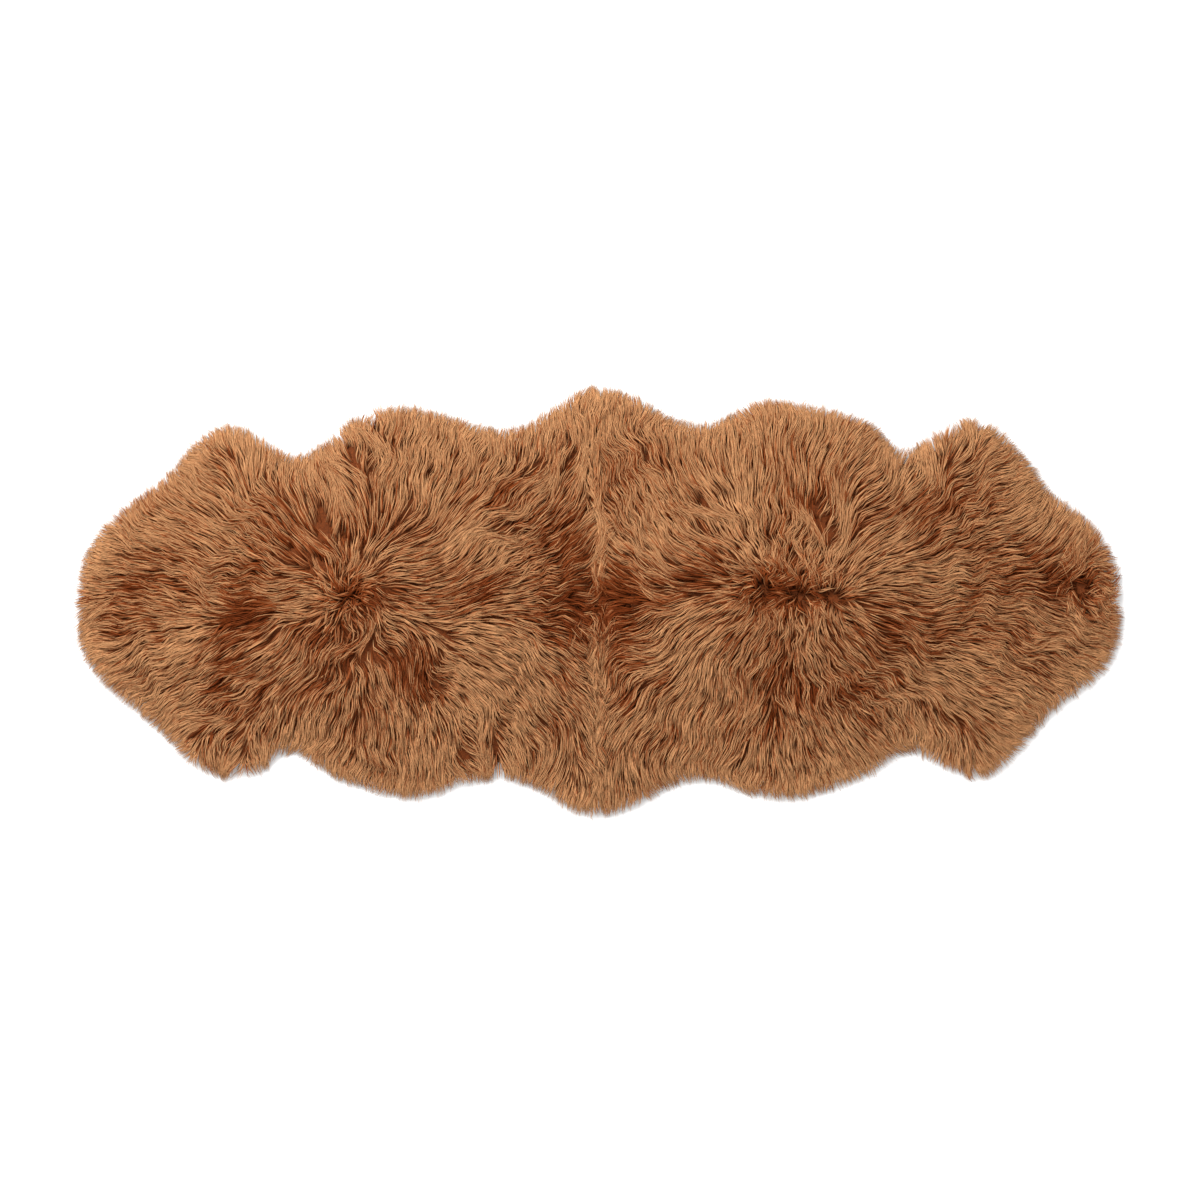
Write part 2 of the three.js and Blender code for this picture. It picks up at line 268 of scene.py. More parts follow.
def flow_from_line(points, start, end):
    """The flow away from a line: the mean of the flows from all its points, each one over its distance.

    Along the line that sum is the logarithm of the ratio of the distances to its ends, and across it the
    angle under which the line is seen."""
    length = np.hypot(*(end - start))
    run = (end - start) / length
    side = np.array([-run[1], run[0]])
    ahead, across = (points - start) @ run, (points - start) @ side
    ratio = np.hypot(ahead, across) / np.hypot(ahead - length, across)
    angle = np.arctan2(ahead, np.abs(across)) - np.arctan2(ahead - length, np.abs(across))
    return (np.log(ratio)[..., None] * run + (np.sign(across) * angle)[..., None] * side) / length


def waves(points, kind, seed=0):
    """An even, aimless rise and fall from about -1 to 1: the sum of plane waves in chance directions."""
    number, shortest, longest = WAVES[kind]
    rng = np.random.default_rng(seed + number)
    heading = rng.uniform(0, math.pi, WAVE_COUNT)
    turns = 2 * math.pi / rng.uniform(shortest, longest, WAVE_COUNT)
    phase = rng.uniform(0, 2 * math.pi, WAVE_COUNT)
    along = points[..., 0, None] * np.cos(heading) + points[..., 1, None] * np.sin(heading)
    return np.cos(along * turns + phase).sum(-1) / math.sqrt(WAVE_COUNT)


class Field:
    """A value held on an even grid of the plane, and read between the grid's points in proportion."""

    def __init__(self, values, low, step):
        self.values, self.low, self.step = values, np.asarray(low, float), step

    def at(self, points):
        spot = (points - self.low) / self.step
        spot = np.clip(spot, 0, np.array(self.values.shape) - 1.001)
        cell = spot.astype(int)
        x, y = (spot - cell)[..., 0], (spot - cell)[..., 1]
        i, j = cell[..., 0], cell[..., 1]
        v = self.values
        return mix(mix(v[i, j], v[i + 1, j], x), mix(v[i, j + 1], v[i + 1, j + 1], x), y)

    def slope(self, points):
        """The direction in which the value grows fastest, at length 1."""
        east = self.at(points + [self.step, 0]) - self.at(points - [self.step, 0])
        north = self.at(points + [0, self.step]) - self.at(points - [0, self.step])
        return unit(np.stack([east, north], -1))


def at_shares(curve, share, shares=None):
    """The points of a curve at each share of its way. Its own points lie at shares, or else evenly."""
    if shares is None:
        shares = np.linspace(0, 1, len(curve))
    return np.stack([np.interp(share, shares, curve[:, i]) for i in (0, 1)], -1)


def smooth_curve(columns, steps=24):
    """A Catmull-Rom curve through a table's points, as evenly spaced points."""
    knots = np.stack([columns["out"], columns["up"]], 1).astype(float)
    before = np.vstack([knots[:1], knots[:-1]])[:-1, None]
    after = np.vstack([knots[1:], knots[-1:]])[1:, None]
    start, end = knots[:-1, None], knots[1:, None]
    t = np.linspace(0, 1, steps, endpoint=False)[None, :, None]
    lift = (end - before) / 2, (after - start) / 2
    curve = (
        (2 * t**3 - 3 * t**2 + 1) * start
        + (t**3 - 2 * t**2 + t) * lift[0]
        + (3 * t**2 - 2 * t**3) * end
        + (t**3 - t**2) * lift[1]
    )
    curve = np.vstack([curve.reshape(-1, 2), knots[-1:]])
    along = np.insert(np.cumsum(np.linalg.norm(np.diff(curve, axis=0), axis=1)), 0, 0)
    return at_shares(curve, np.linspace(0, along[-1], RIM_POINTS), along)


def distance_inside(rim):
    """The distance from each point of the pelt's plane in to its rim, negative outside the rim.

    The seam isn't an edge: only the curve of the rim counts, and a point is inside where a line drawn
    outwards from it, along +out, crosses the rim an odd number of times."""
    axes = [np.arange(low, high, GRID_STEP) for low, high in zip(GRID_LOW, GRID_HIGH)]
    grid = np.stack(np.meshgrid(*axes, indexing="ij"), -1)
    nearest = np.full(grid.shape[:2], np.inf)
    crossings = np.zeros(grid.shape[:2], int)
    for start, end in zip(rim[:-1:2], rim[2::2]):
        edge = end - start
        nearest = np.minimum(nearest, from_line(grid, start, end))
        spans = (start[1] > grid[..., 1]) != (end[1] > grid[..., 1])
        meets = start[0] + (grid[..., 1] - start[1]) / (edge[1] or 1e-9) * edge[0]
        crossings += spans & (grid[..., 0] < meets)
    return Field(np.where(crossings % 2 == 1, nearest, -nearest), GRID_LOW, GRID_STEP)


def make_pelts():
    """The two pelts with their rims, the fields over them, and a seed each."""
    pelts = []
    for number, (name, side) in enumerate(SIDES.items()):
        rim = smooth_curve(RIMS[name])
        edge = distance_inside(rim)
        pelts.append(Pelt(name, side, rim, PARTINGS[name], HOLLOWS[name], edge, 100 * (number + 1)))
    return pelts


def parting_lines(pelt):
    """Each parting's ends, strength and openness."""
    table = pelt.partings
    starts = np.stack([table["out"], table["up"]], 1)
    ends = np.stack([table["to_out"], table["to_up"]], 1)
    return zip(starts, ends, table["strength"], table["openness"])


def from_whorl(pelt, points):
    """The distance from each point to the pelt's first parting."""
    start, end, _, _ = next(parting_lines(pelt))
    return from_line(points, start, end)


def parting(pelt, points, radius=30):
    """Up to 1 on a parting of the wool, where locks are short and turn any way, and 0 away from it."""
    open_share = np.zeros(points.shape[:-1])
    for start, end, _, openness in parting_lines(pelt):
        open_share = np.maximum(open_share, openness * bell(from_line(points, start, end), radius))
    return open_share


def hollows_of(pelt):
    """Each hollow's place, radius and depth."""
    table = pelt.hollows
    return zip(table["out"], table["up"], table["radius"], table["depth"])


def lie_of_wool(pelt, points):
    """The way the wool lies: away from every parting, and away from the partings' images across the seam, so
    that it comes to run along the seam. The images are weaker away from the seam's middle, so that there the
    wool leans over the seam.

    Away from partings slow waves move the places at which that flow is read, so that it wanders. At the
    whorl it is twisted. Near the rim it loses its share inwards and is drawn out."""
    drift = np.stack([waves(points, kind, pelt.seed) for kind in ("drift out", "drift up")], -1)
    moved = points + LIE_DRIFT * (1 - parting(pelt, points, STILL_RADIUS))[..., None] * drift
    echo = mix(ECHO, 1, bell(from_spot(points, *SEAM_MIDDLE), ECHO_RADIUS))
    lie = np.zeros_like(points)
    for start, end, strength, _ in parting_lines(pelt):
        lie += strength * flow_from_line(moved, start, end)
        lie += (strength * echo)[..., None] * flow_from_line(moved, start * [-1, 1], end * [-1, 1])
    lie = turned(unit(lie), WHORL_TWIST * bell(from_whorl(pelt, points), WHORL_RADIUS))
    near, inward = 1 - smooth(0, RIM_BAND, pelt.edge.at(points)), pelt.edge.slope(points)
    back = np.maximum((lie * inward).sum(-1), 0)
    return unit(lie - (near * (RIM_PULL + back))[..., None] * inward)


def crimp(pelt, points):
    """The angle by which the wool's lie swings to and fro: waves that run outwards from the first parting,
    so that their crests lie across the locks and neighbours bend together."""
    delay = CRIMP_DELAY * waves(points, "crimp phase", pelt.seed)
    strong = CRIMP_STRENGTH + CRIMP_VARIES * waves(points, "crimp strength", pelt.seed)
    swing = np.sin(2 * math.pi * from_whorl(pelt, points) / CRIMP_LENGTH + delay)
    return np.maximum(strong, CRIMP_LEAST) * swing


def pile_height(pelt, points, height):
    """The height of the wool: a crown that rounds down at the rim like a quarter of a circle, less a bell for
    each hollow and one along the seam, with an aimless rise and fall."""
    inside = np.clip(pelt.edge.at(points) / PILE_BAND, 0, 1)
    crown = np.sqrt(1 - (1 - inside) ** 2)
    pile = mix(PILE_AT_RIM, height, crown)
    for out, up, radius, depth in hollows_of(pelt):
        pile -= HOLLOW_SHARE * depth * bell(from_spot(points, out, up), radius) * crown
    pile -= VALLEY_DEPTHS[pelt.name] * bell(points[..., 0], VALLEY_RADIUS) * crown
    return pile + PILE_VARIES * crown * waves(points, "pile", pelt.seed)


def patch_of(pelt, inset, u, v):
    """The patch that fills the rim drawn in by inset, at every u from the seam to the head end and v from
    the lower side to the upper: the two ways of joining opposite edges, less the corners counted twice."""
    outward = unit(np.gradient(pelt.rim, axis=0))[:, ::-1] * [-1, 1]
    drawn_in = pelt.rim - inset * outward
    drawn_in = drawn_in[drawn_in[:, 0] > SEAM_GAP]
    drawn_in = drawn_in[[0, *range(len(drawn_in)), -1]]
    drawn_in[[0, -1], 0] = SEAM_GAP

    upper, lower = at_shares(drawn_in, RIM_SHARE * u), at_shares(drawn_in, 1 - RIM_SHARE * u)
    head = at_shares(drawn_in, mix(1 - RIM_SHARE, RIM_SHARE, v))
    seam = mix(lower[0], upper[0], v[:, None])
    u, v = u[:, None, None], v[None, :, None]
    sides = mix(lower[:, None], upper[:, None], v)
    ends = mix(seam[None], head[None], u)
    corners = mix(mix(lower[0], upper[0], v), mix(lower[-1], upper[-1], v), u)
    return sides + ends - corners


def grid_faces(rows, columns):
    """The four-cornered faces of a grid of points, counted row by row."""
    first = (np.arange(rows - 1)[:, None] * columns + np.arange(columns - 1)).ravel()
    return np.stack([first, first + columns, first + columns + 1, first + 1], 1)


def closed_sheet(plan, low, high, middle):
    """Two grids over the same plan, a low and a high one, that share the points round their edge.

    low, high and middle give the height of every point of the plan: middle is used round the edge."""
    rows, columns = plan.shape[:2]
    rim = np.zeros((rows, columns), bool)
    rim[[0, -1]] = rim[:, [0, -1]] = True
    top = np.dstack([plan, np.where(rim, middle, high)]).reshape(-1, 3)
    bottom = np.dstack([plan, low]).reshape(-1, 3)[~rim.ravel()]
    under = np.arange(rows * columns)
    under[~rim.ravel()] = rows * columns + np.arange(len(bottom))
    upper = grid_faces(rows, columns)
    return np.vstack([top, bottom]), [np.vstack([upper, under[upper][:, ::-1]])]


def on_its_side(pelt, points, faces):
    """A pelt's surface moved to its own side of the seam: the left one is mirrored, and its faces turned."""
    points = points * [pelt.side, 1, 1]
    return points, faces if pelt.side > 0 else [block[:, ::-1] for block in faces]


def crowded_ends(count, ends=0.004):
    """Even steps from 0 to 1 with two short ones at each end, which make a sheet's edge crisp."""
    return np.concatenate([[0, ends / 4, ends], np.linspace(0, 1, count)[1:-1], [1 - ends, 1 - ends / 4, 1]])


def lock_roots(pelt, spacing, margin, rng):
    """Lock roots on a grid of staggered rows, moved about by chance, as far as the margin from the rim, and
    more of them where the wool parts."""
    area = math.prod(high - low for low, high in zip(ROOTS_LOW, ROOTS_HIGH))
    tries = CROWD * int(area / spacing**2)
    spots = np.random.default_rng(pelt.seed + 1).uniform(ROOTS_LOW, ROOTS_HIGH, (tries, 2))
    crowd = spots[parting(pelt, spots) > rng.uniform(*CROWD_ODDS, tries)]
    rows = np.arange(ROOTS_LOW[1], ROOTS_HIGH[1], spacing * math.sqrt(3) / 2)
    columns = np.arange(ROOTS_LOW[0], ROOTS_HIGH[0], spacing)
    out, up = np.meshgrid(columns, rows)
    out = out + (np.arange(len(rows)) % 2)[:, None] * spacing / 2
    roots = np.stack([out, up], -1).reshape(-1, 2)
    roots = np.vstack([roots + rng.uniform(-ROOT_SHIFT, ROOT_SHIFT, roots.shape) * spacing, crowd])
    return roots[(roots[:, 0] > 1.5) & (pelt.edge.at(roots) > margin)]


def rim_roots(pelt, spacing, margin, rng):
    """Roots of the extra locks that stand all round the skin's edge: spots spread along the rim and moved in,
    straight away from it, to a depth of their own past the margin."""
    length = np.linalg.norm(np.diff(pelt.rim, axis=0), axis=1).sum()
    count = int(length / spacing)
    spots = at_shares(pelt.rim, (np.arange(count) + rng.uniform(0.1, 0.9, count)) / count)
    depth = margin + rng.uniform(0, RIM_DEPTH, count)
    for _ in range(3):
        spots = spots + pelt.edge.slope(spots) * (depth - pelt.edge.at(spots))[:, None]
    return spots[spots[:, 0] > 2]


def lock_paths(pelt, roots, lean, coat, wool, rng):
    """The middle line of every lock, seen from above, in even steps from its root to its tip.

    Each step follows the way the wool lies there, turned by the lock's own turn, by the crimp and by a bend
    that changes sides on the way. At a parting a lock turns any way, is short, and keeps the lie that it
    starts with. A line that would pass the rim is shortened to end near it."""
    calm = parting(pelt, roots)
    swirl = SWIRL * waves(roots, "swirl", pelt.seed)
    turn = rng.normal(0, 1, len(roots)) * mix(wool.lock_turn, TURN_AT_PARTING, calm**2) + swirl
    sweep = waves(roots, "sweep", pelt.seed)
    bend = wool.lock_bend * (BEND_SWEEP * sweep + BEND_CHANCE * rng.normal(size=len(roots)))
    bend = bend * (1 - 0.7 * calm)
    lean = lean * mix(1, LEAN_AT_PARTING, calm)
    path, first = [roots], lie_of_wool(pelt, roots)
    for i in range(PATH_STEPS):
        lie = unit(mix(lie_of_wool(pelt, path[-1]), first, calm[:, None]))
        heading = turned(lie, turn + crimp(pelt, path[-1]) + bend * (i / PATH_STEPS - BEND_START))
        path.append(path[-1] + heading * (lean / PATH_STEPS)[:, None])
    path = np.stack(path, 1)
    tip_inside, root_inside = pelt.edge.at(path[:, -1]), pelt.edge.at(roots)
    stop = coat.stop + rng.uniform(*STOP_VARIES, len(roots))
    share = np.where(tip_inside < stop, (root_inside - stop) / np.maximum(root_inside - tip_inside, 1), 1)
    share = np.clip(share, SHORTEST_LOCK, 1)[:, None, None]
    return roots[:, None] + (path - roots[:, None]) * share


def along(path, share):
    """The points of each path at a share of its way, one share to each path."""
    spot = np.clip(share, 0, 1) * (path.shape[1] - 1)
    cell = np.minimum(spot.astype(int), path.shape[1] - 2)
    rows = np.arange(len(path))
    return mix(path[rows, cell], path[rows, cell + 1], (spot - cell)[:, None])


def seam_line(pelt, spots):
    """How far out the line wanders along which the pelts' wool meets: the same line for both of them."""
    return pelt.side * SEAM_WANDER * waves(spots * [0, 1], "seam")


def held_at_seam(pelt, spots, share, cross):
    """The spots of strands kept from passing far over the seam.

    The limit is the seam's line, past which each lock may cross by its own amount, and both grow with the
    strand's share. Nearer to the limit than a bank of a few millimetres a spot closes up on it, as an
    exponential does."""
    limit = 0.4 + share * (seam_line(pelt, spots) - SEAM_CROSSINGS[pelt.name] * cross)
    bank = mix(*SEAM_BANK, share)
    gap = spots[:, 0] - limit
    eased = bank * np.exp(np.minimum(gap / bank, 1) - 1)
    return np.stack([limit + np.where(gap < bank, eased, gap), spots[:, 1]], 1)


def strand_tones(pelt, ends, tips, fade, rng):
    """The tone of every strand, from 0 for rust to near 1 for pale: chance and slow waves round its lock's
    own, paler at the rim as painted backlight from the floor, paler on the ridge over the seam and on crests
    as painted highlight, and rustier in hollows, partly the roots' own rust and partly painted shade."""
    tone = 0.5 + fade + TONE_VARIES * rng.normal(size=len(tips))
    # Painted backlight: paler towards the rim, as if the pale floor shone through the tips.
    tone += RIM_BACKLIGHT_TONE * bell(pelt.edge.at(tips), RIM_BACKLIGHT_WIDTH)
    # Painted highlight on the ridge over the seam, left out near the seam's middle.
    ridge = RIDGE_HIGHLIGHT_TONE * bell(ends[:, 0] - seam_line(pelt, ends), RIDGE_WIDTH)
    tone += ridge * (1 - bell(tips[:, 1] - SEAM_MIDDLE[1], RIDGE_GAP))
    tone += TONE_WAVES * waves(tips, "tone", pelt.seed)
    # Rustier in hollows, partly the roots' own rust and partly painted shade; crests, with a depth below 0,
    # are made paler as a painted highlight.
    for out, up, radius, depth in hollows_of(pelt):
        felt = rng.uniform(0.45, 1.15, len(tips))
        tone -= depth / 20 * felt * bell(from_spot(tips, out, up), radius * 1.3)
    return np.clip(tone, 0, 0.999)


def strand_lines(pelt, roots, coat, wool, rng):
    """The middle line of every strand: the places of its rings and its tip, how far out its lock's root is,
    and its tone.

    A strand starts at its own spot round the lock's root, and runs towards the lock's tip: its distance from
    the lock's middle line shrinks on the way, and it sways across it. Its height grows from the skin to its
    lock's share of the pile, fast at first, and follows the pile's top from there on."""
    lean = wool.lock_length / MM * coat.length * rng.uniform(0.8, 1.15, len(roots))
    path = lock_paths(pelt, roots, lean, coat, wool, rng)
    lift = rng.uniform(coat.low, coat.high, len(roots))
    most_curl = wool.lock_curl / MM * coat.sway * (1 - 0.6 * parting(pelt, roots))
    curl = rng.uniform(0.5, 1, len(roots)) * most_curl
    phase = 2.4 * waves(roots, "curl", pelt.seed) + rng.normal(0, 0.3, len(roots))
    fade = 0.08 * rng.normal(size=len(roots)) + (lift - (coat.low + coat.high) / 2) + coat.pale
    each = np.repeat(np.arange(len(roots)), coat.strands)
    count = len(each)
    path, lift, curl, phase, fade = path[each], lift[each], curl[each], phase[each], fade[each]

    radius = coat.spread / 2 * np.sqrt(rng.uniform(0, 1, count))
    around = rng.uniform(0, 2 * math.pi, count)
    beside, ahead = radius * np.cos(around), radius * np.sin(around)
    reach = rng.uniform(*STRAND_REACH, count)
    stray = np.where(rng.uniform(0, 1, count) < STRAYS, STRAY_WAVER, 1.0)
    waver = rng.normal(0, WAVER, count) * stray
    cross = rng.uniform(-0.3, 1, len(roots))[each] * rng.uniform(0.7, 1.3, count)
    rings = [*coat.rings, 1.0]
    line = np.zeros((count, len(rings), 3))
    for k, ring in enumerate(rings):
        share = ring * reach
        heading = unit(along(path, share + 0.06) - along(path, share - 0.06))
        across = np.stack([-heading[:, 1], heading[:, 0]], 1)
        closing = 1 - coat.closing * share
        sway = curl * share * np.sin(2 * math.pi * CURL_TURNS * share + phase) + waver * share * 2.2
        spot = along(path, share) + across * (beside * closing + sway)[:, None]
        spot = held_at_seam(pelt, spot + heading * (ahead * (1 - share))[:, None], share, cross)
        pile = pile_height(pelt, spot, wool.pile_height / MM) * lift
        crest = CREST * (1 - (2 * beside / coat.spread) ** 2) * np.sin(math.pi * share)
        rise = 1 - (1 - share) ** 3
        height = mix(ROOT_HEIGHT, pile, rise) + (crest + waver * share * 1.4) * np.minimum(pile / 30, 1)
        line[:, k, :2] = spot
        line[:, k, 2] = np.maximum(height, 1.4 * (1 - ring) + TIP_HEIGHT)

    tone = strand_tones(pelt, spot, along(path, np.ones(count)), fade, rng)
    return line * [pelt.side, 1, 1], roots[each, 0], tone


def strand_mesh(line, tone, coat):
    """Closed three-sided strands: rings of three points carried along each line, narrowing to its tip.

    A ring stands across its line, with one point up and two beside it, flatter than it is wide. In the
    strand's own map, u is its tone's column with the sides in order across it, and v runs from its root to
    its tip."""
    count, rings = len(line), len(coat.rings)
    run = unit(np.gradient(line, axis=1))
    side = unit(np.cross([0.0, 0.0, 1.0], run))
    over = np.cross(run, side)
    angle = math.pi / 2 + np.arange(STRAND_SIDES) * 2 * math.pi / STRAND_SIDES
    girth = (coat.width / 2 * np.array(coat.girth))[None, :, None, None]
    beside = side[:, :-1, None] * np.cos(angle)[:, None]
    upwards = over[:, :-1, None] * (STRAND_FLATNESS * np.sin(angle))[:, None]
    ringed = line[:, :-1, None] + girth * (beside + upwards)
    points = np.concatenate([ringed.reshape(count, -1, 3), line[:, -1:]], 1)
    points[..., 2] = np.maximum(points[..., 2], STRAND_CLEARANCE)

    j = np.arange(STRAND_SIDES)
    k = np.arange(rings - 1)[:, None] * STRAND_SIDES
    beyond = (j + 1) % STRAND_SIDES
    walls = [k + j, k + beyond, k + STRAND_SIDES + beyond, k + STRAND_SIDES + j]
    walls = np.stack(walls, -1).reshape(-1, 4)
    last = (rings - 1) * STRAND_SIDES
    ends = np.stack([last + j, last + beyond, np.full(STRAND_SIDES, rings * STRAND_SIDES)], -1)
    ends = np.vstack([ends, [[2, 1, 0]]])

    across = (j + np.array([0.08, 0.92])[:, None]) / STRAND_SIDES
    v = np.append(coat.rings, 1.0)
    corner = [(0, 0), (1, 0), (1, 1), (0, 1)]
    wall_uv = [[(across[a, s], v[r + b]) for a, b in corner] for r in range(rings - 1) for s in j]
    end_uv = [[(across[0, s], v[-2]), (across[1, s], v[-2]), (across.mean(0)[s], 1)] for s in j]
    end_uv.append([(0.9, 0), (0.1, 0), (0.5, 0.04)])

    start = np.arange(count)[:, None, None] * points.shape[1]
    faces = [(start + block).reshape(-1, block.shape[1]) for block in (walls, ends)]
    column = np.floor(tone * TONES)[:, None, None]
    uvs = []
    for block in (np.array(wall_uv), np.array(end_uv)):
        u = (column + block[..., 0]) / TONES
        uvs.append(np.stack([u, np.broadcast_to(block[..., 1], u.shape)], -1).reshape(-1, 2))
    return points.reshape(-1, 3), faces, np.vstack(uvs)


def new_piece(name, points, faces, material, node, uvs=None):
    """A smooth-shaded mesh object, in millimetres on the way in, that stands for a CAD node.

    faces is a list of whole arrays of faces, each with the same number of corners. uvs has a row for each
    corner of each face in turn."""
    mesh = bpy.data.meshes.new(name)
    corners = np.concatenate([block.ravel() for block in faces])
    totals = np.concatenate([np.full(len(block), block.shape[1]) for block in faces])
    mesh.vertices.add(len(points))
    mesh.vertices.foreach_set("co", (points * MM).ravel())
    mesh.loops.add(len(corners))
    mesh.loops.foreach_set("vertex_index", corners)
    mesh.polygons.add(len(totals))
    mesh.polygons.foreach_set("loop_start", np.insert(np.cumsum(totals), 0, 0)[:-1])
    mesh.polygons.foreach_set("loop_total", totals)
    mesh.polygons.foreach_set("use_smooth", np.ones(len(totals), bool))
    if uvs is not None:
        mesh.uv_layers.new(name=BAKE_MAP).data.foreach_set("uv", uvs.ravel())
    mesh.update(calc_edges=True)
    if mesh.validate(verbose=False):
        raise RuntimeError(f"{name} has faces that don't hold together")
    mesh.materials.append(material)
    piece = bpy.data.objects.new(name, mesh)
    bpy.context.scene.collection.objects.link(piece)
    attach(piece, "root")
    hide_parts(node)
    return piece


class Value:
    """A number socket. Arithmetic on it adds Math nodes to its tree and gives the new node's output."""

    def __init__(self, shader, socket):
        self.shader, self.socket = shader, socket

    def math(self, operation, *others):
        inputs = dict(enumerate((self, *others)))
        return self.shader.node("ShaderNodeMath", {"operation": operation}, inputs)

    def __add__(self, other):
        return self.math("ADD", other)

    def __mul__(self, other):
        return self.math("MULTIPLY", other)

    def __sub__(self, other):
        return self.math("SUBTRACT", other)

    def __rsub__(self, other):
        return (self * -1.0) + other

    __radd__, __rmul__ = __add__, __mul__

    def clamped(self):
        """The value held between 0 and 1."""
        return self.math("MAXIMUM", 0.0).math("MINIMUM", 1.0)

    def smoothed(self, low, high):
        """0 below low, 1 above high, and an S-shaped rise between them."""
        inputs = {"Value": self, "From Min": low, "From Max": high}
        return self.shader.node("ShaderNodeMapRange", {"interpolation_type": "SMOOTHSTEP"}, inputs)


class Shader:
    """A material that is built around one Principled shader."""

    def __init__(self, name, **constants):
        self.material = bpy.data.materials.new(name)
        self.material.use_nodes = True
        self.tree = self.material.node_tree
        self.principled = self.tree.nodes["Principled BSDF"]
        for socket, value in constants.items():
            self.named(socket).default_value = value

    def named(self, name):
        """The shader's socket for a name in Python's style."""
        return self.principled.inputs[name.replace("_", " ").title().replace("Ior", "IOR")]

    def node(self, kind, settings=None, inputs=None, output=0):
        """Adds a node: its settings first, then the values or links of its sockets."""
        node = self.tree.nodes.new(kind)
        for setting, value in (settings or {}).items():
            if setting == "stops":
                for stop in value[2:]:
                    node.color_ramp.elements.new(stop[0])
                for element, (place, colour) in zip(node.color_ramp.elements, value):
                    element.position, element.color = place, (*colour, 1)
            else:
                setattr(node, setting, value)
        for socket, value in (inputs or {}).items():
            self.feed(node.inputs[socket], value)
        return Value(self, node.outputs[output])

    def feed(self, socket, value):
        """Links a value to a socket, or sets the socket to a number or colour."""
        if isinstance(value, Value):
            self.tree.links.new(value.socket, socket)
        elif socket.type == "RGBA" and len(value) == 3:
            socket.default_value = (*value, 1)
        else:
            socket.default_value = value

    def ramp(self, value, *stops):
        """A colour that runs through stops in order, and changes at once where two share a place."""
        return self.node("ShaderNodeValToRGB", {"stops": stops}, {0: value})

    def blend(self, share, low, high, mode="MIX"):
        """Two colours mixed by a share."""
        settings = {"data_type": "RGBA", "blend_type": mode}
        return self.node("ShaderNodeMix", settings, {0: share, 6: low, 7: high}, output=2)

    def tinted(self, colour, tint):
        """A colour multiplied by another."""
        return self.blend(1.0, colour, tint, "MULTIPLY")

    def parts(self, vector):
        """The three numbers of a vector."""
        split = self.node("ShaderNodeSeparateXYZ", None, {0: vector})
        return [Value(self, split.socket.node.outputs[i]) for i in range(3)]

    def vector(self, x, y, z=0.0):
        """A vector of three numbers."""
        return self.node("ShaderNodeCombineXYZ", None, {0: x, 1: y, 2: z})

    def noise(self, vector, scale, detail=2.0, roughness=0.5):
        """Smooth noise from 0 to 1."""
        inputs = {"Vector": vector, "Scale": scale, "Detail": detail, "Roughness": roughness}
        return self.node("ShaderNodeTexNoise", None, inputs)

    def bump(self, height, strength, distance):
        """Feeds the shader's normal with a relief this deep, in metres."""
        inputs = {"Height": height, "Strength": strength, "Distance": distance}
        self.feed(self.named("normal"), self.node("ShaderNodeBump", None, inputs))

    def paint(self, **sockets):
        """Feeds what changes over the surface: the base colour or the roughness."""
        for name, value in sockets.items():
            self.feed(self.named(name), value)
        return self.material


def linear(colour):
    """A display colour of 0 to 255 as scene-linear numbers."""
    return tuple((c / 255 / 12.92) if c <= 10 else ((c / 255 + 0.055) / 1.055) ** 2.4 for c in colour)


def shaded(colour, share):
    """A colour darkened to a share of its light."""
    return tuple(share * c for c in colour)


def wool_material(wool):
    """Wool: darker and redder at the root, paler towards the tip, with a tone for each strand and fine
    fibres. Honey strands run from the root colour to the tip colour, and rusty ones from a darker root to
    brown; the rustiest are darkened further, partly deeper rust and partly painted shade. The palest strands
    are mixed towards the tip colour, partly paler wool and partly painted sheen. The last few hundredths of a
    strand are a little darker again.

    The colour depends only on the strand's own map, so that it bakes exactly: u is the strand's tone, with
    its width across a column, and v runs from its root to its tip."""
    shader = Shader("Wool", roughness=0.58, specular_ior_level=0.07)
    tone, way, _ = shader.parts(shader.node("ShaderNodeUVMap", {"uv_map": BAKE_MAP}))
    fibre = shader.noise(shader.vector(tone * (TONES * 7.0), way * 2.2), 1.0, 2.0, 0.6)
    step = (way + (fibre - 0.5) * 0.3).clamped()
    root, brown, tip = tuple(wool.root_colour), tuple(wool.brown_colour), tuple(wool.tip_colour)
    honey = shader.ramp(step, (0.12, root), (0.96, tip), (0.96, brown))
    rusty = shader.ramp(step, (0.1, shaded(root, 0.55)), (0.95, brown), (0.95, tuple(wool.rust_colour)))
    # The rustiest strands, most of them in hollows, are darkened further: partly deeper rust, partly painted
    # shade.
    deepest_rust_and_shade = shader.tinted(rusty, (0.56, 0.46, 0.38))
    rusty = shader.blend(tone.smoothed(-0.05, 0.22), deepest_rust_and_shade, rusty)
    colour = shader.blend(tone.smoothed(0.12, 0.62), rusty, honey)
    # The palest strands are mixed towards the tip colour: partly paler wool, partly painted sheen on the
    # wisps.
    pale = shader.blend(tone.smoothed(0.5, 1.0) * 0.55, colour, tip)
    fine = shader.tinted(pale, shader.ramp(fibre, (0.25, (0.74, 0.72, 0.7)), (0.75, (1, 1, 1))))
    shader.bump(fibre, 0.5, 0.0006)
    return shader.paint(base_color=fine, roughness=0.5 + fibre * 0.2)


